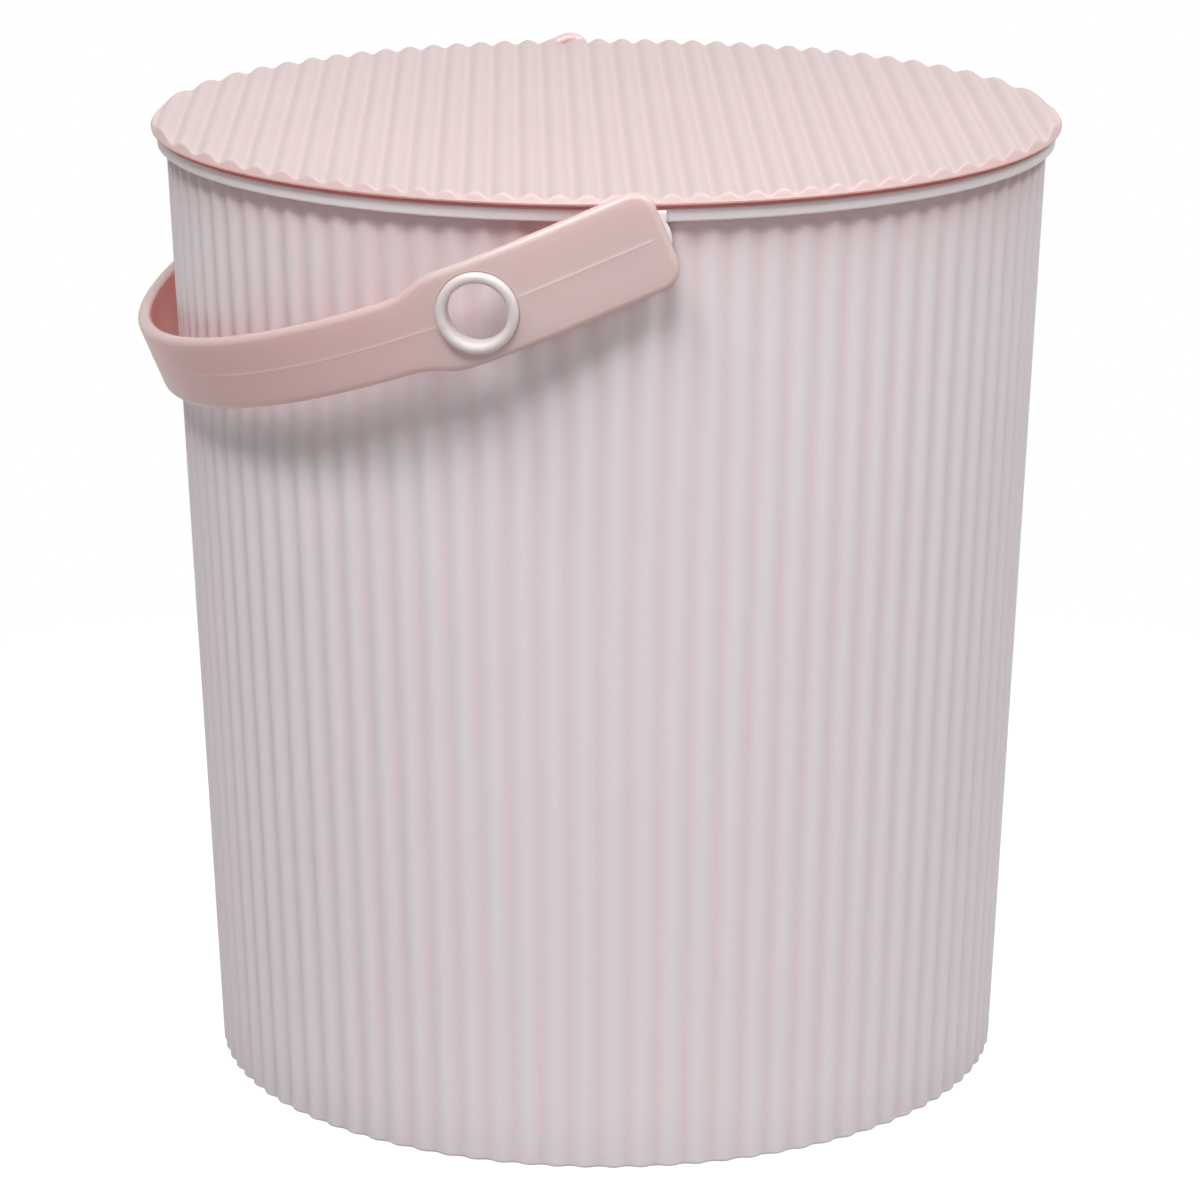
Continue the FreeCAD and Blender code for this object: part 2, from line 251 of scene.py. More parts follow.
@dataclass(frozen=True)
class MouldedPolypropylene:
    """Polypropylene, injection moulded in a finely eroded tool.

    The eye gets a soft satin surface with a broad weak highlight, a barely uneven tone where the melt
    flowed, and a fine grain that breaks the highlight up. Some light passes through. Edges, valleys and
    shaded insides get painted shade: a deeper, pinker colour painted in where shade falls and where light
    come through the plastic would show.
    """

    name: str
    colour: str
    flow_colour: str
    # Colour painted in for shade where the painted shade attribute is full.
    painted_shade_colour: str
    slot: str
    through_colour: str = "#FFFFFF"
    through_share: float = 0.0
    # Translucent share where the painted shade attribute is full.
    deep_share: float = 0.0
    roughness: float = 0.36
    roughness_spread: float = 0.06
    flow_mm: float = 70.0
    grain_mm: float = 0.9
    grain_depth_mm: float = 0.012
    refraction: float = 1.49

    def material(self) -> bpy.types.Material:
        """Node material of the finish.

        Returns:
            The new material.
        """
        material = bpy.data.materials.new(self.name)
        tree = cleared_tree(material)
        place = add_node(tree, "ShaderNodeTexCoord", {}, {}).outputs["Object"]
        flow = add_node(tree, "ShaderNodeTexNoise", {}, {
            "Vector": place, "Scale": 1.0 / (self.flow_mm * MM), "Detail": 2.0, "Roughness": 0.5,
        })
        tone = add_node(tree, "ShaderNodeMix", {"data_type": "RGBA"}, {
            0: flow.outputs["Fac"], 6: linear_colour(self.colour), 7: linear_colour(self.flow_colour),
        })
        # Painted shade: the points' attribute mixes the painted shade colour into the tone, and below it
        # raises the translucent share.
        depth = add_node(tree, "ShaderNodeAttribute", {"attribute_name": PAINTED_SHADE_LAYER}, {}).outputs["Fac"]
        colour = add_node(tree, "ShaderNodeMix", {"data_type": "RGBA"}, {
            0: depth, 6: tone.outputs[2], 7: linear_colour(self.painted_shade_colour),
        })
        # The real grain is near 0.1 mm, so it is drawn coarser in order to show in the render
        grain = add_node(tree, "ShaderNodeTexNoise", {}, {
            "Vector": place, "Scale": 1.0 / (self.grain_mm * MM), "Detail": 3.0, "Roughness": 0.6,
        })
        gloss = add_node(tree, "ShaderNodeMapRange", {}, {
            "Value": grain.outputs["Fac"], "To Min": self.roughness - self.roughness_spread,
            "To Max": self.roughness + self.roughness_spread,
        })
        bump = add_node(tree, "ShaderNodeBump", {}, {
            "Strength": 1.0, "Distance": self.grain_depth_mm * MM, "Height": grain.outputs["Fac"],
        })
        skin = add_node(tree, "ShaderNodeBsdfPrincipled", {}, {
            "Base Color": colour.outputs[2], "Roughness": gloss.outputs["Result"], "IOR": self.refraction,
            "Normal": bump.outputs["Normal"],
        })
        through = add_node(tree, "ShaderNodeBsdfTranslucent", {}, {
            "Color": linear_colour(self.through_colour),
        })
        share: Any = self.through_share
        if self.deep_share != self.through_share:
            share = add_node(tree, "ShaderNodeMapRange", {}, {
                "Value": depth, "To Min": self.through_share, "To Max": self.deep_share,
            }).outputs["Result"]
        whole = add_node(tree, "ShaderNodeMixShader", {}, {
            0: share, 1: skin.outputs["BSDF"], 2: through.outputs["BSDF"],
        })
        add_node(tree, "ShaderNodeOutputMaterial", {}, {"Surface": whole.outputs["Shader"]})
        return material


# Third colour of each finish: its painted shade colour, deeper and pinker, painted in where shade falls. The
# eyelet's equals its own colour, so it shows none.
BUCKET_FINISH = MouldedPolypropylene(
    "moulded polypropylene blush white", "#E9E2E5", "#E6DEE1", "#E2C0C5", "bucket_polypropylene",
    through_colour="#F4B0A8", through_share=0.1, deep_share=0.2)
LID_FINISH = MouldedPolypropylene(
    "moulded polypropylene pale pink", "#D1C2C1", "#CDBEBD", "#ECBAB2", "lid_polypropylene",
    through_colour="#FACCC4", through_share=0.21, deep_share=0.7)
HANDLE_FINISH = MouldedPolypropylene(
    "moulded polypropylene light pink", "#DCD1CF", "#D8CDCB", "#EFC6C4", "handle_polypropylene",
    through_colour="#F4AAA0", through_share=0.3, deep_share=0.46, roughness=0.25)
EYELET_FINISH = MouldedPolypropylene(
    "moulded polypropylene white", "#DED5D5", "#DAD1D1", "#DED5D5", "eyelet_polypropylene",
    through_colour="#F6C8C2", through_share=0.12, deep_share=0.12, roughness=0.4)


def mount(item: bpy.types.Object, body: Body, finish: MouldedPolypropylene, *nodes: str) -> None:
    """Put a finished piece on its body and report it.

    Args:
        item: the piece.
        body: body that it moves with.
        finish: not used.
        nodes: nodes of the frame that it stands for.
    """
    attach(item, body.value)
    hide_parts(*nodes)
    LOG.info("%s: %d faces on %s", item.name, len(item.data.polygons), body.value)


@dataclass
class Bucket:
    """Bucket moulding: tapered wall with upright ribs, floor on a foot ring, rim, and two ears."""

    height: float = 332.2
    crest_foot: float = 139.3
    crest_top: float = 152.4
    rib_count: int = 90
    rib_depth: float = 1.2
    rib_turn: float = -1.0
    rib_columns: int = 16
    valley_softness: float = 2.0
    wall: float = 3.0
    floor_top: float = 6.0
    floor_round: float = 7.0
    foot_depth: float = 3.2
    foot_inside: float = 132.4
    foot_round: float = 1.2
    foot_inside_round: float = 0.6
    rim_radius: float = 155.4
    rim_height: float = 4.2
    rim_top_round: float = 0.4
    rim_low_round: float = 0.8
    mouth_round: float = 0.6
    low_row: float = 20.0
    high_row_drop: float = 60.0
    rim_drops: tuple[float, ...] = (40.0, 25.0, 16.0, 10.0, 6.0, 3.5, 1.5, 0.0)
    # Painted shade on the wall: deeper in the valleys and more so near the rim, under the rim fading
    # downwards, and on the rim's top in the gap under the lid.
    valley_painted_shade: float = 0.24
    valley_rim_painted_shade: float = 0.5
    valley_shade_reach: float = 12.0
    under_rim_painted_shade: float = 0.85
    under_rim_shade_reach: float = 8.0
    rim_top_painted_shade: float = 0.6
    rim_top_margin: float = 0.05
    pivot_drop: float = 9.8
    ear_face: float = 157.6
    ear_root: float = 149.0
    ear_half_width: float = 8.2
    ear_boss: float = 10.0
    ear_round: float = 0.9
    ear_sink: float = 0.05
    ear_columns: int = 144
    bore_radius: float = 4.55
    bore_lead: float = 0.3
    bore_end: float = 150.5

    @property
    def rim_underside(self) -> float:
        """Height of the rim's underside."""
        return self.height - self.rim_height

    @property
    def taper(self) -> float:
        """Growth of the wall's radius for each millimetre of height."""
        return (self.crest_top - self.crest_foot) / self.rim_underside

    def crest(self, height: Any) -> Any:
        """Radius of the rib crests at a height."""
        return self.crest_foot + self.taper * height

    def inside(self, height: Any) -> Any:
        """Radius of the smooth inside at a height."""
        return self.crest(height) - self.rib_depth - self.wall

    def rib_section(self) -> tuple[Array, Array]:
        """Angles round the wall and how deep the surface lies there, from 0 on a crest to 1 in a valley.

        Formula: with t from -1 to 1 across a rib, depth is the soft minimum of t squared and the next
        rib's (2 - |t|) squared, so crests and valleys are equally round. Columns crowd towards the
        valleys, because t is the sine of an even step.

        Returns:
            Angles in radians, and depths.
        """
        even = np.arange(self.rib_columns) * (2.0 / self.rib_columns) - 1.0
        across = np.sin(0.5 * math.pi * even)
        pitch = 2.0 * math.pi / self.rib_count
        middles = math.radians(self.rib_turn) + pitch * np.arange(self.rib_count)
        angles = (middles[:, None] + 0.5 * pitch * across[None, :]).ravel()
        depth = soft_min(across ** 2, (2.0 - np.abs(across)) ** 2, self.valley_softness)
        depth = depth / (1.0 - self.valley_softness / 4.0)
        return angles, np.tile(depth, self.rib_count)

    def ribbed_rows(self, depth: Array) -> tuple[Array, Array]:
        """Radius and height of the ribbed rows, from the foot's rounded edge up to the rim.

        Formula: crest radius less rib depth times depth. At the foot a quarter round is taken off.

        Args:
            depth: depth of each column, 0 on a crest to 1 in a valley.

        Returns:
            Radii of rows by columns, and heights of the rows.
        """
        foot = round_rows((self.foot_round, self.foot_round), self.foot_round, 270.0, 180.0, 6)
        plain = np.linspace(self.low_row, self.rim_underside - self.high_row_drop, 5)
        height = np.concatenate([foot[:, 1], plain, self.rim_underside - np.array(self.rim_drops)])
        inset = np.concatenate([foot[:, 0], np.zeros(len(height) - len(foot))])
        radius = self.crest(height)[:, None] - self.rib_depth * depth[None, :] - inset[:, None]
        return radius, height

    def painted_shade(self, depth: Array, height: Array) -> Array:
        """Painted shade on the ribbed wall: how much deeper colour is painted in for shade, from 0 to 1.

        Formula: the greater of two shares. One is painted shade in the valleys: the depth squared times a
        share that rises towards the rim. The other is painted shade under the rim, which fades downwards from
        the rim.

        Args:
            depth: depth of each column, 0 on a crest to 1 in a valley.
            height: heights of the rows.

        Returns:
            Array of rows by columns.
        """
        drop = (self.rim_underside - height)[:, None]
        valley_shade = self.valley_painted_shade + self.valley_rim_painted_shade * np.exp(-drop / self.valley_shade_reach)
        return np.maximum(depth[None, :] ** 2 * valley_shade, self.under_rim_painted_shade * np.exp(-drop / self.under_rim_shade_reach))

    def skin(self) -> Shell:
        """Closed skin of the wall: underside, foot, ribbed wall, rim, inside and floor in one turn.

        Returns:
            The skin.
        """
        angles, depth = self.rib_section()
        ribbed, ribbed_height = self.ribbed_rows(depth)
        inner_round = self.foot_inside_round
        under = np.concatenate([
            [[0.0, self.foot_depth], [self.foot_inside * 0.5, self.foot_depth]],
            [[self.foot_inside - inner_round, self.foot_depth]],
            round_rows((self.foot_inside + inner_round, inner_round), inner_round, 180.0, 270.0, 5),
        ])
        low = self.rim_underside
        mouth = self.inside(self.height)
        corner = self.inside(self.floor_top + self.floor_round)
        above = np.concatenate([
            round_rows((self.rim_radius - self.rim_low_round, low + self.rim_low_round),
                       self.rim_low_round, -90.0, 0.0, 6),
            round_rows((self.rim_radius - self.rim_top_round, self.height - self.rim_top_round),
                       self.rim_top_round, 0.0, 90.0, 7),
            round_rows((mouth + self.mouth_round, self.height - self.mouth_round),
                       self.mouth_round, 90.0, 180.0, 5),
            round_rows((corner - self.floor_round, self.floor_top + self.floor_round),
                       self.floor_round, 0.0, -90.0, 8),
            [[corner * 0.5, self.floor_top], [0.0, self.floor_top]],
        ])
        radius = np.concatenate([
            np.broadcast_to(under[:, :1], (len(under), len(angles))), ribbed,
            np.broadcast_to(above[:, :1], (len(above), len(angles))),
        ])
        height = np.concatenate([under[:, 1], ribbed_height, above[:, 1]])
        height = np.broadcast_to(height[:, None], radius.shape)
        # Painted shade: on the ribbed rows from the wall's formula, and on the rim's top, in the shaded gap
        # under the lid.
        painted_shade = np.zeros_like(radius)
        painted_shade[len(under):len(under) + len(ribbed)] = self.painted_shade(depth, ribbed_height)
        on_top = above[:, 1:] > self.height - self.rim_top_margin
        painted_shade[-len(above):] = np.where(on_top, self.rim_top_painted_shade, 0.0)
        grid = np.stack([radius * np.cos(angles), radius * np.sin(angles), height], axis=-1)
        return Shell().add(grid, closed=True, depth=painted_shade)

    def ear_outline(self) -> tuple[Array, Array]:
        """Angles about the pivot and the ear's outline there.

        Formula: the larger of the boss circle and the block's sides, both stopped by the rim's top.

        Returns:
            Angles in radians, and distances from the pivot.
        """
        top = self.pivot_drop - self.ear_sink
        corner = math.atan2(top, self.ear_half_width)
        angles = np.sort(np.concatenate([full_turn(self.ear_columns), [corner, math.pi - corner]]))
        rim_stop = top / np.maximum(np.sin(angles), TINY)
        sides = self.ear_half_width / np.maximum(np.abs(np.cos(angles)), TINY)
        sides = np.where(np.sin(angles) > 0.0, sides, 0.0)
        return angles, np.minimum(np.maximum(self.ear_boss, sides), rim_stop)

    def ear(self, side: Side) -> Shell:
        """Closed skin of one ear: root inside the wall, sides, rounded face edge, and blind pivot bore.

        Formula: the outline is carried along Y, drawn in by a quarter round at the face, then a circle of
        the bore's radius runs back into the ear.

        Args:
            side: front or rear.

        Returns:
            The skin.
        """
        angles, outline = self.ear_outline()
        edge = round_rows((self.ear_round, self.ear_face - self.ear_round), self.ear_round, 180.0, 90.0, 6)
        reach = np.concatenate([
            [np.zeros_like(outline), outline], outline[None, :] - edge[:, :1],
            np.array([[self.bore_radius + self.bore_lead], [self.bore_radius], [self.bore_radius], [0.0]])
            * np.ones_like(outline),
        ])
        depth = np.concatenate([
            [self.ear_root, self.ear_root], edge[:, 1],
            [self.ear_face, self.ear_face - self.bore_lead, self.bore_end, self.bore_end],
        ])
        depth = np.broadcast_to(depth[:, None], reach.shape)
        pivot = self.height - self.pivot_drop
        grid = np.stack([reach * np.cos(angles), side.value * depth, pivot + reach * np.sin(angles)], axis=-1)
        return Shell().add(grid, closed=True)

    def build(self) -> None:
        """Make the wall and the two ears and put them on the bucket's body."""
        material = BUCKET_FINISH.material()
        mount(self.skin().piece("bucket_wall", material), Body.BUCKET, BUCKET_FINISH, "bucket_body")
        for side in Side:
            name = f"rim_ear_{side.name.lower()}"
            mount(self.ear(side).piece(name, material), Body.BUCKET, BUCKET_FINISH, "bucket_body")


@dataclass
class Lid:
    """Lid moulding: a disc of straight waves with a sloped edge, a seat and a locating skirt."""

    radius: float = 157.42
    crest: float = 337.3
    wave_height: float = 1.8
    wave_pitch: float = 8.9
    crest_breadth: float = 0.2
    turn: float = 2.9
    columns: int = 901
    edge_height: float = 334.5
    edge_slope: float = 2.0
    edge_softness: float = 0.8
    ridge: float = 0.08
    ridge_drop: float = 0.1
    lip: float = 333.75
    lip_inside: float = 152.5
    lip_round: float = 0.2
    # Painted shade: a little on the crests' sloped end faces at the edge, and full on the lip's underside in
    # the shaded gap over the rim, fading inwards.
    edge_painted_shade: float = 0.14
    edge_shade_reach: float = 1.4
    lip_shade_reach: float = 8.0
    corner: float = 0.3
    seat_corner: float = 0.4
    plate_corner: float = 1.0
    seat: float = 332.2
    skirt: float = 147.57
    skirt_end: float = 322.2
    skirt_wall: float = 2.4
    skirt_lead: float = 1.0

    def top_height(self, across: Array, along: Array) -> Array:
        """Height of the waved top.

        Formula: the soft minimum of a wave across the lid and a slope that rises from the edge inwards, so
        that each crest ends in a steep face with a rounded edge. The wave is the cosine of its phase less
        a share of the phase's sine, which makes crests broader than valleys.

        Args:
            across: distance from the middle wave's crest line.
            along: distance along the waves.

        Returns:
            Heights.
        """
        phase = 2.0 * math.pi * across / self.wave_pitch
        fall = 1.0 - np.cos(phase - self.crest_breadth * np.sin(phase))
        wave = self.crest - 0.5 * self.wave_height * fall
        inwards = self.radius - np.hypot(across, along)
        slope = self.edge_height + self.edge_slope * inwards
        return soft_min(wave, slope, self.edge_softness)

    def top(self) -> Array:
        """Grid of the waved top: columns across the waves, rows along them.

        Formula: the column at angle f lies at radius times sin f across. Its rows lie where circles drawn
        in from the edge cross it, and evenly between the innermost two.

        Returns:
            Array of rows by columns by 3.
        """
        across = self.radius * np.sin(np.linspace(-0.5 * math.pi, 0.5 * math.pi, self.columns))
        inset = np.concatenate([np.linspace(0.0, 2.8, 15), [3.3, 4.2, 6.0]])
        reach = np.sqrt(np.maximum((self.radius - inset[:, None]) ** 2 - across[None, :] ** 2, 0.0))
        reach[0] = self.radius * np.cos(np.linspace(-0.5 * math.pi, 0.5 * math.pi, self.columns))
        middle = reach[-1] * np.linspace(-0.8, 0.8, 9)[:, None]
        along = np.concatenate([-reach, middle, reach[::-1]])
        across = np.broadcast_to(across, along.shape)
        return np.stack([across, along, self.top_height(across, along)], axis=-1)

    def underside(self) -> Array:
        """Grid of the edge and underside: profile rows carried round the same columns as the top's edge.

        Returns:
            Array of rows by columns by 3.
        """
        half = np.linspace(-0.5 * math.pi, 0.5 * math.pi, self.columns)
        angles = np.concatenate([half - 0.5 * math.pi, half[1:-1] + 0.5 * math.pi])
        inner = self.skirt - self.skirt_wall
        rows = np.concatenate([
            [[self.radius, 0.0], [self.radius + self.ridge, self.edge_height - self.ridge_drop]],
            [[self.radius, self.edge_height - 2.0 * self.ridge_drop]],
            round_rows((self.radius - self.lip_round, self.lip + self.lip_round),
                       self.lip_round, 0.0, -90.0, 4),
            [[self.lip_inside + self.corner, self.lip], [self.lip_inside, self.lip - self.corner]],
            [[self.lip_inside, self.seat + self.corner], [self.lip_inside - self.corner, self.seat]],
            [[self.skirt + self.seat_corner, self.seat], [self.skirt, self.seat - self.seat_corner]],
            [[self.skirt, self.skirt_end + self.skirt_lead], [self.skirt - self.skirt_lead, self.skirt_end]],
            [[inner + self.corner, self.skirt_end], [inner, self.skirt_end + self.corner]],
            [[inner, self.seat - self.plate_corner], [inner - self.corner, self.seat - self.corner]],
            [[inner - self.plate_corner, self.seat]],
            [[inner * 0.5, self.seat], [0.0, self.seat]],
        ])
        grid = turned(rows, angles)
        grid[0, :, 2] = self.top_height(grid[0, :, 0], grid[0, :, 1])
        return grid

    def build(self) -> None:
        """Make the lid, turn its waves to their place, and put it on its body."""
        turn = math.radians(-self.turn)
        matrix = np.array([
            [math.cos(turn), -math.sin(turn), 0.0], [math.sin(turn), math.cos(turn), 0.0], [0.0, 0.0, 1.0],
        ])
        shell = Shell()
        # Painted shade on the top near the edge and on the underside under the lip.
        top = self.top()
        inwards = self.radius - np.hypot(top[..., 0], top[..., 1])
        depth = self.edge_painted_shade * np.clip(1.0 - inwards / self.edge_shade_reach, 0.0, 1.0)
        shell.add(top @ matrix.T, depth=depth)
        under = self.underside()
        inwards = self.radius - np.hypot(under[..., 0], under[..., 1])
        lip_painted_shade = np.clip(1.0 - inwards / self.lip_shade_reach, 0.0, 1.0)
        depth = np.where(under[..., 2] > self.lip + 0.5 * self.lip_round, self.edge_painted_shade, lip_painted_shade)
        shell.add(under @ matrix.T, closed=True, depth=depth)
        mount(shell.piece("waved_lid", LID_FINISH.material()), Body.LID, LID_FINISH, "lid")


@dataclass
class Handle:
    """Handle moulding and its two eyelets: a strap bent into a bail, with wide arms and a narrower grip.

    Points are first worked out level: q runs from the pivot axis to the grip, s along the pivot axis and n
    across the strap's width.
    """

    pivot_height: float = 322.4
    drop: float = 22.5
    strap: float = 5.0
    arm_outside: float = 163.2
    reach: float = 172.56
    straight: float = 30.0
    arm_half_width: float = 16.8
    grip_half_width: float = 12.7
    step_start: float = 64.0
    step_length: float = 20.0
    tail: float = 8.6
    tail_corner: float = 7.5
    edge_round: float = 2.3
    seam_height: float = 0.1
    seam_half_width: float = 0.3
    seam_fade: float = 1.4
    seam_start: float = -5.0
    seam_rise: float = 2.0
    stud_radius: float = 4.5
    stud_tip: float = 151.0
    stud_lead: float = 0.8
    stud_columns: int = 64
    eyelet_place: float = 56.5
    eyelet_bore: float = 10.0
    eyelet_barrel: float = 11.7
    eyelet_lip: float = 13.4
    eyelet_proud: float = 2.2
    eyelet_crown: float = 1.1
    eyelet_seat: float = 1.1
    eyelet_columns: int = 128
    bead_depth: float = 1.2
    bead_proud: float = 0.7
    bead_corner: float = 0.15
    barrel_round: float = 0.5
    lip_corner: float = 0.2
    hole_clearance: float = 0.05
    pocket_clearance: float = 0.25
    patch_half_length: float = 16.5
    corner_count: int = 10
    patch_count: int = 20
    arm_count: int = 12
    bow_count: int = 70
    table_length: float = 120.0
    table_count: int = 600
    face_share: Array = field(default_factory=lambda: np.array(
        [-1.0, -0.75, -0.5, -0.25, -0.1, 0.0, 0.0, 0.0, 0.0, 0.0, 0.1, 0.25, 0.5, 0.75, 1.0]))

    @property
    def bow(self) -> float:
        """Length of the bent part on the outside, along q."""
        return self.reach - self.straight

    def plan(self, station: Array, share: Array) -> tuple[Array, Array]:
        """Place on the bail seen square to its plane.

        Formula: straight up to the bend, then a half ellipse. The station past the bend is the ellipse's
        angle times the bend's length. The share goes from 0 on the inside to 1 on the outside.

        Args:
            station: place along the strap.
            share: place through the strap's thickness.

        Returns:
            q and s, with s positive.
        """
        angle = np.maximum(station - self.straight, 0.0) / self.bow
        through = self.strap * (1.0 - share)
        q = np.minimum(station, self.straight) + (self.bow - through) * np.sin(angle)
        return q, (self.arm_outside - through) * np.cos(angle)

    def half_width(self, q: Array) -> Array:
        """Half the strap's width: wide on the arms, then two equal arcs down to the grip.

        Formula: with x from 0 to 1 over the step and f the fall, each half is part of a circle through
        the step's end with a level tangent, and both meet in the step's middle.

        Args:
            q: distance from the pivot axis.

        Returns:
            Half widths.
        """
        fall = self.arm_half_width - self.grip_half_width
        radius = (self.step_length ** 2 + fall ** 2) / (4.0 * fall)
        along = np.clip(q - self.step_start, 0.0, self.step_length)
        near = np.minimum(along, self.step_length - along)
        bend = radius - np.sqrt(radius ** 2 - near ** 2)
        first = along < 0.5 * self.step_length
        return np.where(first, self.arm_half_width - bend, self.grip_half_width + bend)

    def seam(self, station: Array, across: Array) -> Array:
        """Height of the moulding seam on the outside: a fine ridge along the strap's middle.

        Formula: seam height times a share that falls from 1 at the middle to 0, steeply over half the
        seam's width upwards and gently downwards, and rises from 0 at the seam's start to full height.
        """
        fall = np.where(across > 0.0, across / self.seam_half_width, -across / self.seam_fade)
        ridge = np.clip(1.0 - fall, 0.0, 1.0)
        return self.seam_height * ridge * np.clip((station - self.seam_start) / self.seam_rise, 0.0, 1.0)

    def placed(self, q: Array, s: Array, n: Array, side: Side) -> Array:
        """Turn level points into their place at rest.

        Formula: x is minus q, y is s with the side's sign and z is n; then the drop turns them about the
        pivot axis and the pivot height lifts them.

        Args:
            q: distance from the pivot axis.
            s: distance along the pivot axis.
            n: distance across the strap's width.
            side: front or rear half.

        Returns:
            Array of points by 3.
        """
        drop = math.radians(self.drop)
        q, s, n = np.broadcast_arrays(q, s, n)
        x = -q * math.cos(drop) - n * math.sin(drop)
        z = -q * math.sin(drop) + n * math.cos(drop)
        return np.stack([x, side.value * s, z + self.pivot_height], axis=-1)

    def stations(self) -> tuple[Array, int, int]:
        """Places along half the strap where its section is drawn.

        Returns:
            Stations after the tail's corner, and the numbers of the first and last one of the eyelet's patch.
        """
        middle = self.straight + self.bow * math.asin((self.eyelet_place - self.straight) / self.bow)
        half = self.patch_half_length
        patch = np.linspace(middle - half, middle + half, self.patch_count)
        before = np.linspace(self.tail_corner - self.tail, patch[0], self.arm_count)[:-1]
        end = self.straight + 0.5 * math.pi * self.bow
        after = np.linspace(patch[-1], end, self.bow_count)[1:]
        return np.concatenate([before, patch, after]), len(before), len(before) + len(patch) - 1

    def section(self) -> tuple[Array, Array, Array, Array]:
        """Closed section of the strap: outside face, upper edge, inside face, lower edge.

        Formula: a rectangle whose corners are quarter rounds. Face points lie at a share of the face's
        half width plus an offset, so that the seam keeps its width.

        Returns:
            Share through the thickness, inset from the outline, share of the half width, and offset.
        """
        quarter = np.radians(np.linspace(0.0, 90.0, 7))
        inset = self.edge_round * (1.0 - np.sin(quarter))
        through = 1.0 - self.edge_round * (1.0 - np.cos(quarter)) / self.strap
        edge_share = np.concatenate([through[1:], 1.0 - through[::-1][:-1]])
        edge_inset = np.concatenate([inset[1:], inset[::-1][:-1]])
        face = self.face_share
        offset = np.zeros_like(face)
        fine = face == 0.0
        offset[fine] = self.seam_half_width * np.linspace(-1.0, 1.0, fine.sum())
        ones = np.ones_like(edge_share)
        share = np.concatenate([np.ones_like(face), edge_share, np.zeros_like(face), edge_share[::-1]])
        face_inset = np.full_like(face, self.edge_round)
        all_inset = np.concatenate([face_inset, edge_inset, face_inset, edge_inset[::-1]])
        width = np.concatenate([face, ones, face[::-1], -ones])
        all_offset = np.concatenate([offset, 0.0 * ones, offset[::-1], 0.0 * ones])
        return share, all_inset, width, all_offset

    def strap_half(self, shell: Shell, side: Side) -> None:
        """Add half the strap, from its tail to the middle of the grip, without the eyelet's patch.

        Formula: the section is carried along the stations. Round the tail's corner the inset is taken along
        the corner's own normal.

        Args:
            shell: skin that gets the grids.
            side: front or rear half.
        """
        share, inset, width, offset = self.section()
        along, first, last = self.stations()
        turn = np.radians(np.linspace(90.0, 0.0, self.corner_count))[:-1, None]
        bend = self.tail_corner - inset[None, :]
        corner_q = (self.tail_corner - self.tail) - bend * np.sin(turn)
        corner_edge = self.arm_half_width - self.tail_corner + bend * np.cos(turn)
        q, s = self.plan(along[:, None], share[None, :])
        station = np.concatenate([corner_q, np.broadcast_to(along[:, None], q.shape)])
        edge = np.concatenate([corner_edge, self.half_width(q) - inset[None, :]])
        n = edge * width[None, :] + offset[None, :]
        outside = (share == 1.0)[None, :]
        raised = share[None, :] + np.where(outside, self.seam(station, n), 0.0) / self.strap
        q, s = self.plan(station, raised)
        grid = self.placed(q, s, n, side)
        first += self.corner_count - 1
        last += self.corner_count - 1
        faces = len(self.face_share)
        edges = (len(share) - 2 * faces) // 2
        keep = np.ones((len(grid) - 1, len(share)), bool)
        keep[first:last, :faces - 1] = False
        keep[first:last, faces + edges:2 * faces + edges - 1] = False
        # The strap's inside face gets full painted shade, a deeper pink standing in for its shade and for
        # light come through the strap.
        shell.add(grid, closed=True, keep=keep, depth=np.where(share == 0.0, 1.0, 0.0)[None, :])
        self.tail_end(shell, side)
        outer = self.patch_border(station, n, first, last, 0, faces, 1)
        inner = self.patch_border(station, n, first, last, faces + edges, faces, -1)
        self.eyelet_hole(shell, side, outer, inner)

    def tail_end(self, shell: Shell, side: Side) -> None:
        """Add the flat end of an arm with its rounded edges.

        Formula: the rows of the edge's quarter rounds, drawn in along q, carried over the end's width.
        """
        share, inset, _, offset = self.section()
        faces = len(self.face_share)
        edges = (len(share) - 2 * faces) // 2
        rows = np.arange(faces - 1, faces + edges + 1)
        n = self.face_share * (self.arm_half_width - self.tail_corner) + offset[:faces]
        q, s = self.plan(inset[rows][:, None] - self.tail, share[rows][:, None])
        shell.add(self.placed(q, s, n[None, :], side))

    def patch_border(self, station: Array, across: Array, first: int, last: int, start: int, count: int,
                     way: int) -> tuple[Array, Array]:
        """Closed border of the eyelet's patch on one face.

        Args:
            station: stations of the strap's grid.
            across: distances across the width of the strap's grid.
            first: first row of the patch.
            last: last row of the patch.
            start: first column of the face.
            count: number of columns of the face.
            way: 1 where the face's columns run upwards, -1 where they run downwards.

        Returns:
            Stations and distances across, from the lower edge round.
        """
        columns = np.arange(start, start + count)[::way]
        rows = np.arange(first, last + 1)
        row = np.concatenate([
            rows[:-1], np.full(count - 1, last), rows[::-1][:-1], np.full(count - 1, first),
        ])
        column = np.concatenate([
            np.full(len(rows) - 1, columns[0]), columns[:-1],
            np.full(len(rows) - 1, columns[-1]), columns[::-1][:-1],
        ])
        station = np.broadcast_to(station, across.shape)
        return station[row, column], across[row, column]

    def eyelet_axis(self) -> tuple[Array, Array, Array]:
        """Centre of the eyelet on the strap's outside, and the directions along the strap and outwards.

        Returns:
            Three arrays of q and s.
        """
        angle = math.asin((self.eyelet_place - self.straight) / self.bow)
        centre = np.array([self.eyelet_place, self.arm_outside * math.cos(angle)])
        forward = np.array([self.bow * math.cos(angle), -self.arm_outside * math.sin(angle)])
        forward = forward / np.linalg.norm(forward)
        return centre, forward, np.array([-forward[1], forward[0]])

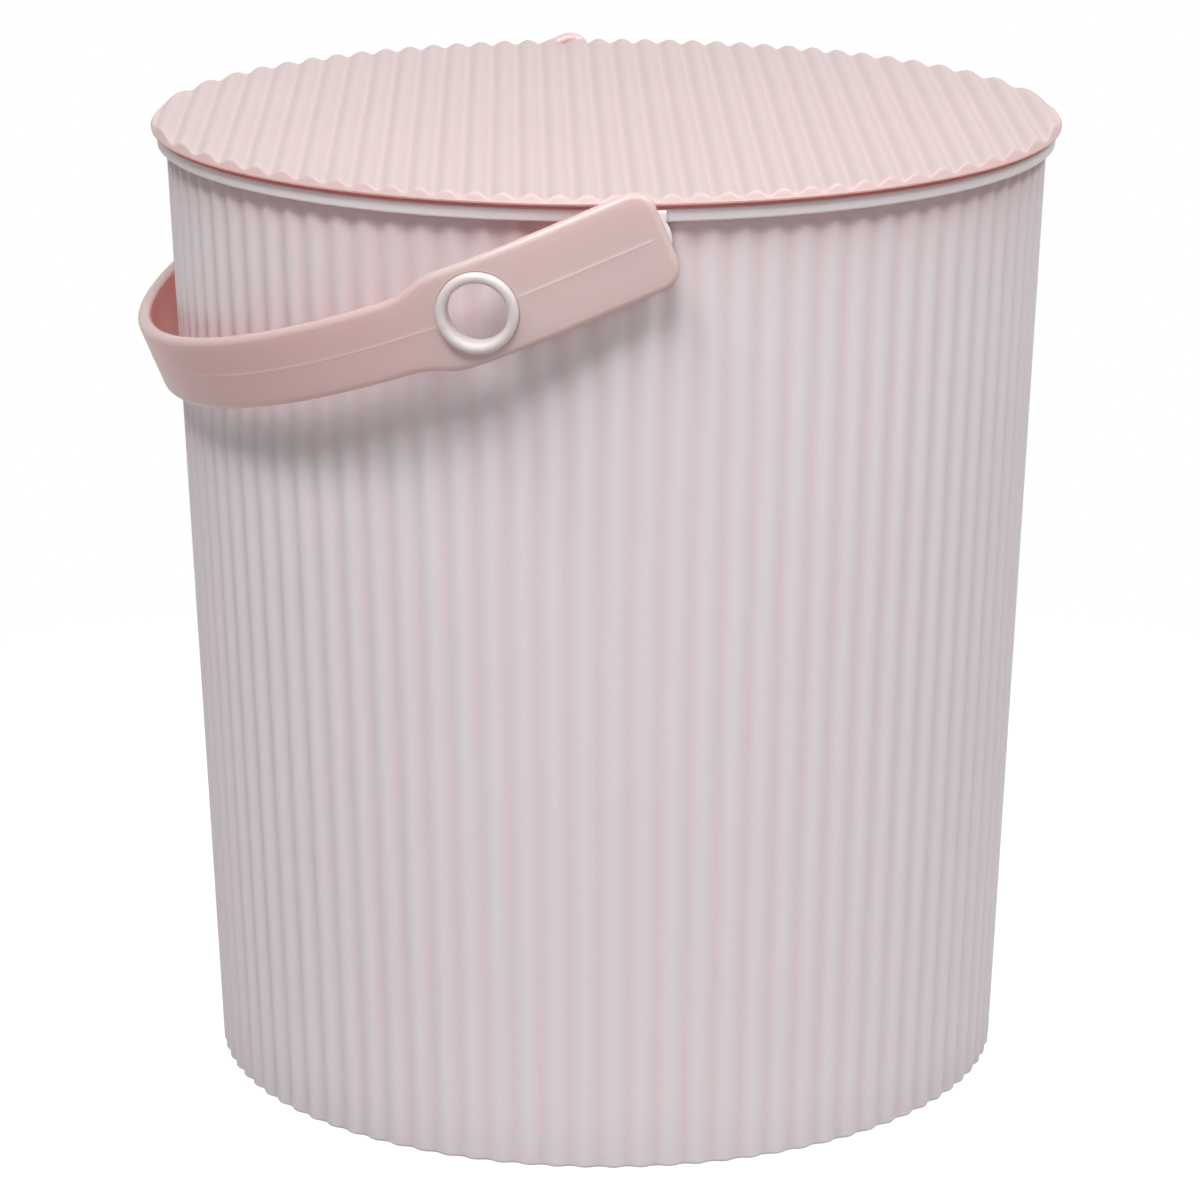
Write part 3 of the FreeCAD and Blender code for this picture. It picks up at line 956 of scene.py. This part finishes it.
    def eyelet_point(self, radius: Array, height: Array, angles: Array, side: Side) -> Array:
        """Place of points given about the eyelet's axis.

        Formula: centre plus radius times cosine along the strap, plus height outwards, and radius times
        sine across the width.

        Args:
            radius: distance from the axis.
            height: distance outwards from the strap's outside.
            angles: angles about the axis in radians.
            side: front or rear.

        Returns:
            Array of points by 3.
        """
        centre, forward, outward = self.eyelet_axis()
        along = radius * np.cos(angles)
        q = centre[0] + along * forward[0] + height * outward[0]
        s = centre[1] + along * forward[1] + height * outward[1]
        return self.placed(q, s, radius * np.sin(angles), side)

    def face_circle(self, radius: float, angles: Array, share: float) -> tuple[Array, Array]:
        """Circle about the eyelet's axis, drawn on a face of the strap.

        Formula: the stations are read from a table of how far along the strap each one lies from the
        eyelet's axis.

        Args:
            radius: radius of the circle.
            angles: angles about the axis.
            share: 1 for the outside face and 0 for the inside.

        Returns:
            Stations and distances across.
        """
        centre, forward, _ = self.eyelet_axis()
        table = np.linspace(0.0, self.table_length, self.table_count)
        q, s = self.plan(table, np.full_like(table, share))
        along = (q - centre[0]) * forward[0] + (s - centre[1]) * forward[1]
        return np.interp(radius * np.cos(angles), along, table), radius * np.sin(angles)

    def eyelet_hole(self, shell: Shell, side: Side, outer: tuple[Array, Array],
                    inner: tuple[Array, Array]) -> None:
        """Add the patch round the eyelet on both faces and the stepped hole between them.

        Formula: rows go straight from each point of the border to the point of the hole's circle in the
        same direction, then through the strap, and out to the other face's border.

        Args:
            shell: skin that gets the grid.
            side: front or rear half.
            outer: border on the outside.
            inner: border on the inside.
        """
        centre, forward, _ = self.eyelet_axis()
        q, s = self.plan(outer[0], np.ones_like(outer[0]))
        angles = np.arctan2(outer[1], (q - centre[0]) * forward[0] + (s - centre[1]) * forward[1])
        barrel = self.eyelet_barrel + self.hole_clearance
        pocket = self.eyelet_barrel + self.bead_proud + self.pocket_clearance
        seat = self.face_circle(self.eyelet_lip + self.pocket_clearance, angles, 1.0)
        back = self.face_circle(pocket, angles, 0.0)
        rows = np.linspace(0.0, 1.0, 4)[:, None]
        front_station = outer[0] + (seat[0] - outer[0]) * rows
        front_across = outer[1] + (seat[1] - outer[1]) * rows
        back_station = back[0] + (inner[0] - back[0]) * rows
        back_across = back[1] + (inner[1] - back[1]) * rows
        raised = 1.0 + self.seam(front_station, front_across) / self.strap
        front_q, front_s = self.plan(front_station, raised)
        back_q, back_s = self.plan(back_station, np.zeros_like(back_station))
        land = self.bead_depth - self.strap
        steps = np.array([
            [self.eyelet_lip + self.pocket_clearance, -self.eyelet_seat], [barrel, -self.eyelet_seat],
            [barrel, land], [pocket, land],
        ])
        hole = self.eyelet_point(steps[:, :1], steps[:, 1:], angles[None, :], side)
        grid = np.concatenate([
            self.placed(front_q, front_s, front_across, side), hole,
            self.placed(back_q, back_s, back_across, side),
        ])
        shell.add(grid, closed=True)

    def stud(self, shell: Shell, side: Side) -> None:
        """Add the pivot stud inside an arm: a round pin with a lead at its tip.

        Formula: profile rows of radius and distance along the pivot axis, carried round that axis.
        """
        root = self.arm_outside - 0.5 * self.strap
        rows = np.array([
            [0.0, root], [self.stud_radius, root], [self.stud_radius, self.stud_tip + self.stud_lead],
            [self.stud_radius - self.stud_lead, self.stud_tip], [0.0, self.stud_tip],
        ])
        angles = full_turn(self.stud_columns)[None, :]
        grid = self.placed(rows[:, :1] * np.cos(angles), rows[:, 1:], rows[:, :1] * np.sin(angles), side)
        shell.add(grid, closed=True)

    def eyelet(self, side: Side) -> Shell:
        """Closed skin of one eyelet: rounded lip outside, barrel through the arm, snap bead inside.

        Formula: profile rows of radius and height carried round the eyelet's axis. The lip's crown is an
        arc over its width, as high as its crown height.

        Args:
            side: front or rear.

        Returns:
            The skin.
        """
        bore = self.eyelet_bore
        lip = self.eyelet_lip
        half = 0.5 * (lip - bore)
        shoulder = self.eyelet_proud - self.eyelet_crown
        radius = (half ** 2 + self.eyelet_crown ** 2) / (2.0 * self.eyelet_crown)
        spread = math.degrees(math.asin(half / radius))
        land = self.bead_depth - self.strap - self.hole_clearance
        bead = self.eyelet_barrel + self.bead_proud
        rows = np.concatenate([
            round_rows((bore + half, self.eyelet_proud - radius), radius, 90.0 - spread, 90.0 + spread, 17),
            round_rows((bore + self.barrel_round, self.barrel_round - self.strap),
                       self.barrel_round, 180.0, 270.0, 5),
            [[self.eyelet_barrel, -self.strap]],
            [[bead, land - self.bead_corner], [bead - self.bead_corner, land]],
            [[self.eyelet_barrel, land], [self.eyelet_barrel, -self.eyelet_seat]],
            [[lip - self.lip_corner, -self.eyelet_seat], [lip, self.lip_corner - self.eyelet_seat]],
            [[lip, shoulder]],
        ])
        angles = full_turn(self.eyelet_columns)[None, :]
        return Shell().add(self.eyelet_point(rows[:, :1], rows[:, 1:], angles, side), closed=True)

    def build(self) -> None:
        """Make the strap with its studs, and the two eyelets, and put them on the handle's body."""
        shell = Shell()
        for side in Side:
            self.strap_half(shell, side)
            self.stud(shell, side)
        mount(shell.piece("drop_handle", HANDLE_FINISH.material()), Body.HANDLE, HANDLE_FINISH, "handle")
        material = EYELET_FINISH.material()
        for side in Side:
            place = side.name.lower()
            item = self.eyelet(side).piece(f"eyelet_{place}", material)
            mount(item, Body.HANDLE, EYELET_FINISH, f"handle_eyelet_{place}")


@dataclass(frozen=True)
class Softbox:
    """Flat lamp that faces the bucket: place and size in metres, power in watts."""

    name: str
    place: tuple[float, float, float]
    width: float
    height: float
    power: float

    def build(self, aim: Vector) -> None:
        """Add the lamp, turned towards a point."""
        lamp = bpy.data.lights.new(self.name, "AREA")
        lamp.shape = "RECTANGLE"
        lamp.size = self.width
        lamp.size_y = self.height
        lamp.energy = self.power
        item = new_object(self.name, lamp)
        item.location = self.place
        item.rotation_euler = (aim - Vector(self.place)).to_track_quat("-Z", "Y").to_euler()


@dataclass
class Studio:
    """Pale floor, soft light and the camera of the photograph's view, in metres and degrees."""

    lens: float = 143.18
    camera_place: tuple[float, float, float] = (-0.1145, -1.6372, 0.6220)
    camera_tilt: float = 74.29
    camera_turn: float = -4.0
    camera_shift: float = -0.00525
    floor_size: float = 12.0
    floor_colour: str = "#ADACAB"
    floor_glow: float = 0.81
    shadow_reach: tuple[float, float] = (0.25, 0.6)
    sky: float = 0.03
    aim: tuple[float, float, float] = (0.0, 0.0, 0.2)
    softboxes: tuple[Softbox, ...] = (
        Softbox("front", (-0.27, -1.435, 2.1), 1.1, 0.6, 31.0),
        Softbox("fill", (-0.3, -2.2, 0.9), 1.1, 0.6, 5.0),
        Softbox("left", (-0.97, -0.82, 2.24), 1.1, 0.45, 26.0),
        Softbox("right", (1.11, -0.93, 2.12), 1.1, 0.45, 18.5),
        Softbox("side", (1.42, -0.25, 2.12), 1.1, 0.45, 18.5),
    )

    def camera(self) -> None:
        """Camera at the photograph's viewing angle."""
        data = bpy.data.cameras.new("view")
        data.lens = self.lens
        data.shift_x = self.camera_shift
        data.clip_end = 50.0
        item = new_object("view", data)
        item.location = self.camera_place
        item.rotation_euler = (math.radians(self.camera_tilt), 0.0, math.radians(self.camera_turn))
        bpy.context.scene.camera = item

    def seen(self, tree: bpy.types.NodeTree) -> bpy.types.NodeSocket:
        """Output that is 1 for camera, glossy and transmission rays and 0 for diffuse light."""
        ray = add_node(tree, "ShaderNodeLightPath", {}, {})
        mirrored = add_node(tree, "ShaderNodeMath", {"operation": "ADD"}, {
            0: ray.outputs["Is Glossy Ray"], 1: ray.outputs["Is Transmission Ray"],
        })
        both = add_node(tree, "ShaderNodeMath", {"operation": "ADD", "use_clamp": True}, {
            0: ray.outputs["Is Camera Ray"], 1: mirrored.outputs["Value"],
        })
        return both.outputs["Value"]

    def floor(self) -> None:
        """Floor that shows white to the camera and keeps the bucket's shadow.

        Formula: near the bucket a matt grey with a glow that brings it up to white, so that the shadow shows;
        further out a glow of strength 1 takes over for rays that show the background.
        """
        half = 0.5 * self.floor_size
        corners = np.array([[-half, -half, 0.0], [half, -half, 0.0], [half, half, 0.0], [-half, half, 0.0]])
        mesh = bpy.data.meshes.new("floor")
        mesh.from_pydata(corners.tolist(), [], [[0, 1, 2, 3]])
        material = bpy.data.materials.new("matt floor")
        tree = cleared_tree(material)
        seen = self.seen(tree)
        place = add_node(tree, "ShaderNodeTexCoord", {}, {}).outputs["Object"]
        distance = add_node(tree, "ShaderNodeVectorMath", {"operation": "LENGTH"}, {0: place})
        far = add_node(tree, "ShaderNodeMapRange", {"interpolation_type": "SMOOTHSTEP"}, {
            "Value": distance.outputs["Value"],
            "From Min": self.shadow_reach[0], "From Max": self.shadow_reach[1],
        })
        share = add_node(tree, "ShaderNodeMath", {"operation": "MULTIPLY"}, {
            0: seen, 1: far.outputs["Result"],
        })
        level = add_node(tree, "ShaderNodeMath", {"operation": "MULTIPLY"}, {0: seen, 1: self.floor_glow})
        matt = add_node(tree, "ShaderNodeBsdfDiffuse", {}, {"Color": linear_colour(self.floor_colour)})
        glow = add_node(tree, "ShaderNodeEmission", {}, {"Strength": level.outputs["Value"]})
        near = add_node(tree, "ShaderNodeAddShader", {}, {
            0: matt.outputs["BSDF"], 1: glow.outputs["Emission"],
        })
        white = add_node(tree, "ShaderNodeEmission", {}, {"Strength": 1.0})
        whole = add_node(tree, "ShaderNodeMixShader", {}, {
            0: share.outputs["Value"], 1: near.outputs["Shader"], 2: white.outputs["Emission"],
        })
        add_node(tree, "ShaderNodeOutputMaterial", {}, {"Surface": whole.outputs["Shader"]})
        mesh.materials.append(material)
        item = new_object("floor", mesh)

    def light(self) -> None:
        """Soft white surroundings and the softboxes."""
        world = bpy.data.worlds.new("studio")
        tree = cleared_tree(world)
        level = add_node(tree, "ShaderNodeMapRange", {}, {
            "Value": self.seen(tree), "To Min": self.sky, "To Max": 1.0,
        })
        sky = add_node(tree, "ShaderNodeBackground", {}, {"Strength": level.outputs["Result"]})
        sky.inputs["Color"].default_value = (1.0, 1.0, 1.0, 1.0)
        add_node(tree, "ShaderNodeOutputWorld", {}, {"Surface": sky.outputs["Background"]})
        bpy.context.scene.world = world
        for softbox in self.softboxes:
            softbox.build(Vector(self.aim))

    def build(self) -> None:
        """Set the camera, floor and light."""
        bpy.context.scene.view_settings.view_transform = "Standard"
        self.camera()
        self.floor()
        self.light()


def main() -> None:
    """Build every piece in order, then the studio."""
    logging.basicConfig(level=logging.INFO)
    for part in (Bucket(), Lid(), Handle(), Studio()):
        part.build()


if __name__ == "__main__":
    main()
